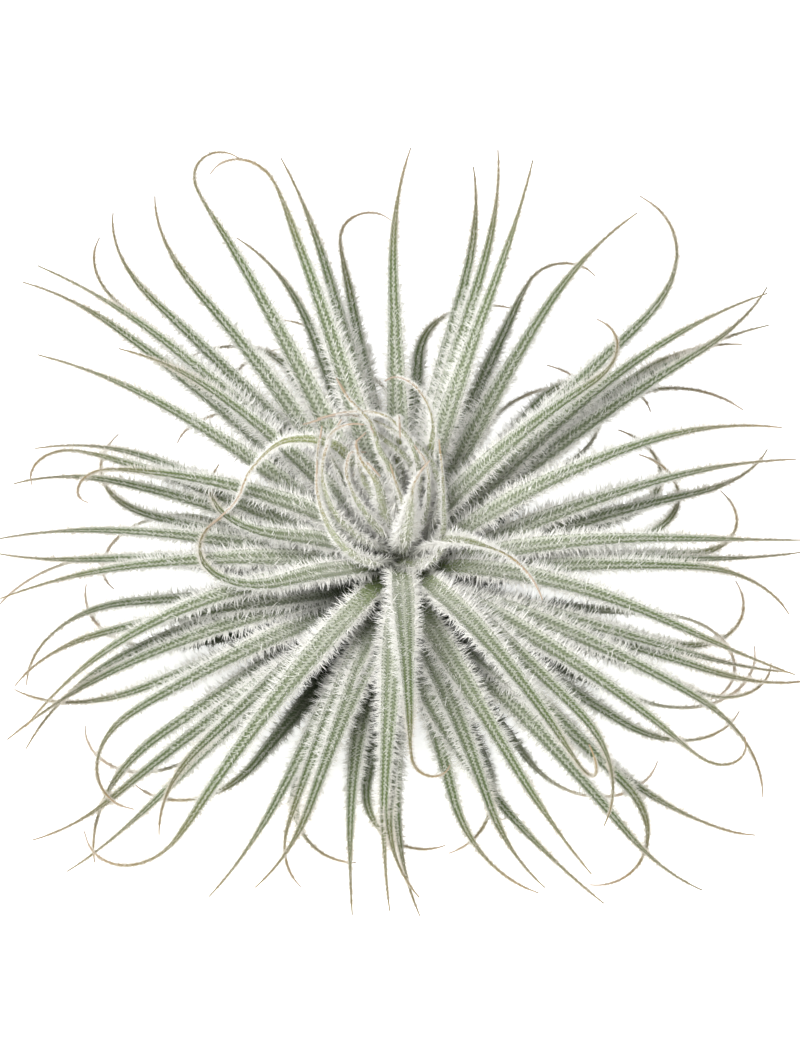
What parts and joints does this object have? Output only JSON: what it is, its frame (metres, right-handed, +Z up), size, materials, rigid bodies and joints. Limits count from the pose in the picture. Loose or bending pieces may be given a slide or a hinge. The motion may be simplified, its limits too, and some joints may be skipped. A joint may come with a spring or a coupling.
{
  "type": "air plant",
  "caption": "Rootless rosette plant: narrow channelled leaves with silvery scales and thread tips around a short woody stem.",
  "frame": {"origin": "centre of the stem's flat trimmed underside, on the surface the plant rests on", "axes": "+Z up along the stem, -Y towards the front of the rosette, +X to its right"},
  "size_m": [0.1698, 0.1662, 0.08],
  "materials": {
    "stem": "rough dry bark and old leaf bases",
    "leaf": "grey-green blade under white scales, drying to a tan thread at its end",
    "young_leaf": "yellow-green young blade under white scales"
  },
  "bodies": {
    "root": {"stem": "stem", "lower_leaf_01": "leaf", "lower_leaf_02": "leaf", "lower_leaf_03": "leaf", "lower_leaf_04": "leaf", "lower_leaf_05": "leaf", "lower_leaf_06": "leaf", "lower_leaf_07": "leaf", "lower_leaf_08": "leaf", "lower_leaf_09": "leaf", "lower_leaf_10": "leaf", "lower_leaf_11": "leaf", "outer_leaf_01": "leaf", "outer_leaf_02": "leaf", "outer_leaf_03": "leaf", "outer_leaf_04": "leaf", "outer_leaf_05": "leaf", "outer_leaf_06": "leaf", "outer_leaf_07": "leaf", "outer_leaf_08": "leaf", "outer_leaf_09": "leaf", "outer_leaf_10": "leaf", "outer_leaf_11": "leaf", "outer_leaf_12": "leaf", "outer_leaf_13": "leaf", "outer_leaf_14": "leaf", "outer_leaf_15": "leaf", "middle_leaf_01": "leaf", "middle_leaf_02": "leaf", "middle_leaf_03": "leaf", "middle_leaf_04": "leaf", "middle_leaf_05": "leaf", "middle_leaf_06": "leaf", "middle_leaf_07": "leaf", "middle_leaf_08": "leaf", "middle_leaf_09": "leaf", "middle_leaf_10": "leaf", "middle_leaf_11": "leaf", "middle_leaf_12": "leaf", "middle_leaf_13": "leaf", "middle_leaf_14": "leaf", "middle_leaf_15": "leaf", "middle_leaf_16": "leaf", "middle_leaf_17": "leaf", "middle_leaf_18": "leaf", "middle_leaf_19": "leaf", "upper_leaf_01": "leaf", "upper_leaf_02": "leaf", "upper_leaf_03": "leaf", "upper_leaf_04": "leaf", "upper_leaf_05": "leaf", "upper_leaf_06": "leaf", "upper_leaf_07": "leaf", "upper_leaf_08": "leaf", "upper_leaf_09": "leaf", "heart_leaf_01": "young_leaf", "heart_leaf_02": "young_leaf", "heart_leaf_03": "young_leaf", "heart_leaf_04": "young_leaf", "heart_leaf_05": "young_leaf"}
  },
  "joints": []
}
